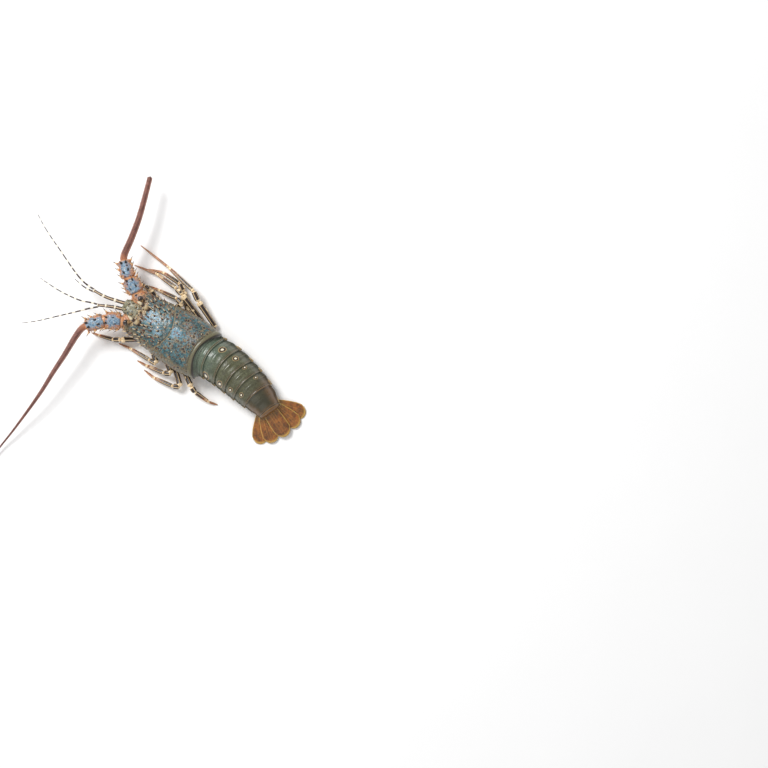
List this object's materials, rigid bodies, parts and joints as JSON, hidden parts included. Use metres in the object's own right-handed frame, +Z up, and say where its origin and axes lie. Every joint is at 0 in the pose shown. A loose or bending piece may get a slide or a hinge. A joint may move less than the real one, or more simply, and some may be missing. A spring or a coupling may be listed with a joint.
{
  "type": "spiny lobster",
  "caption": "Life-size spiny lobster lying belly down: spiny blue-green shell, thick antennal bases with long feelers, folded legs, ringed abdomen and fanned tail.",
  "frame": {"origin": "on the flat of the belly, under the middle of the carapace, at floor level", "axes": "+Z up, +Y from head to tail, +X towards the animal's left"},
  "size_m": [0.5709, 0.5006, 0.0708],
  "materials": {
    "shell": "blue-green spiny shell with rust and black mottling, satin",
    "front_plate": "greenish yellow-grey plate with cream spines, satin",
    "underside": "pale tan sternum with brown marks, satin",
    "eye": "black-brown cornea on a banded stalk, glossy",
    "antenna_base": "sky blue tops, rust-orange sides, black-tipped spines",
    "antenna": "red-brown ringed flagellum with a lighter streak, matt",
    "antennule": "thin whips banded dark brown and white",
    "leg": "near-black brown with cream stripes and cream joints",
    "leg_end": "rust-orange ends with cream joints",
    "abdomen": "glossy olive-green rings with eyespots and tan edges",
    "tail_fan": "amber translucent blades with yellowish rims"
  },
  "bodies": {
    "root": {"abdomen_ring_1": "abdomen", "abdomen_ring_2": "abdomen", "abdomen_ring_3": "abdomen", "abdomen_ring_4": "abdomen", "abdomen_ring_5": "abdomen", "abdomen_ring_6": "abdomen", "antenna_base_left": "antenna_base", "antenna_base_right": "antenna_base", "antenna_left_1": "antenna", "antenna_left_2": "antenna", "antenna_left_3": "antenna", "antenna_right": "antenna", "antennule_base_left": "antennule", "antennule_base_right": "antennule", "antennule_left_1": "antennule", "antennule_left_2": "antennule", "antennule_right_1": "antennule", "antennule_right_2": "antennule", "belly": "underside", "carapace": "shell", "eye_left": "eye", "eye_right": "eye", "front_plate": "front_plate", "leg_left_1_lower": "leg_end", "leg_left_1_upper": "leg", "leg_left_2_lower": "leg_end", "leg_left_2_upper": "leg", "leg_left_3_lower": "leg_end", "leg_left_3_upper": "leg", "leg_left_4_lower": "leg_end", "leg_left_4_upper": "leg", "leg_left_5_lower": "leg_end", "leg_left_5_upper": "leg", "leg_right_1_lower": "leg_end", "leg_right_1_upper": "leg", "leg_right_2_lower": "leg_end", "leg_right_2_upper": "leg", "leg_right_3_lower": "leg_end", "leg_right_3_upper": "leg", "leg_right_4_lower": "leg_end", "leg_right_4_upper": "leg", "leg_right_5_lower": "leg_end", "leg_right_5_upper": "leg", "maxilliped_left": "leg", "maxilliped_right": "leg", "telson": "tail_fan", "uropod_inner_left": "tail_fan", "uropod_inner_right": "tail_fan", "uropod_outer_left": "tail_fan", "uropod_outer_right": "tail_fan"}
  },
  "joints": []
}
